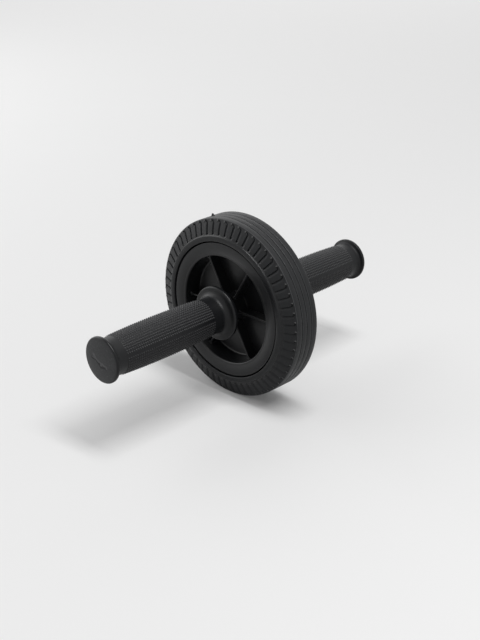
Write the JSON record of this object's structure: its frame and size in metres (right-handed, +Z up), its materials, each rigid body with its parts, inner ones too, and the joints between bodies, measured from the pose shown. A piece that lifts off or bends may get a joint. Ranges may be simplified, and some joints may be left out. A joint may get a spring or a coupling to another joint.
{
  "type": "ab wheel",
  "caption": "Single exercise wheel with a ribbed soft tyre, turning on a steel rod between two textured straight grips with guard flanges.",
  "frame": {"origin": "on the floor under the middle of the wheel, where the tread rests", "axes": "+Y along the axle towards the left grip of a user who faces +X, +X the way the wheel rolls, +Z up"},
  "size_m": [0.1498, 0.2894, 0.1498],
  "materials": {
    "wheel_moulding": "satin black injection-moulded plastic",
    "tyre": "matt black soft rubber",
    "axle_rod": "bright drawn steel",
    "hub_bush": "natural acetal",
    "thrust_washer": "zinc-plated steel",
    "grip_core": "dark grey plastic",
    "push_nut": "blackened spring steel",
    "grip": "satin black plastic with a fine raised texture"
  },
  "bodies": {
    "handle": {"axle_rod": "axle_rod", "thrust_washer_right": "thrust_washer", "thrust_washer_left": "thrust_washer", "grip_core_right": "grip_core", "grip_core_left": "grip_core", "push_nut_right": "push_nut", "push_nut_left": "push_nut", "grip_right": "grip", "grip_left": "grip"},
    "wheel": {"wheel_moulding": "wheel_moulding", "tyre": "tyre", "hub_bush_right": "hub_bush", "hub_bush_left": "hub_bush"}
  },
  "joints": [
    {"name": "wheel_spin", "type": "hinge", "parent": "handle", "child": "wheel", "pos_m": [0, 0, 0.0749], "axis": [0, 1, 0], "continuous": true}
  ]
}
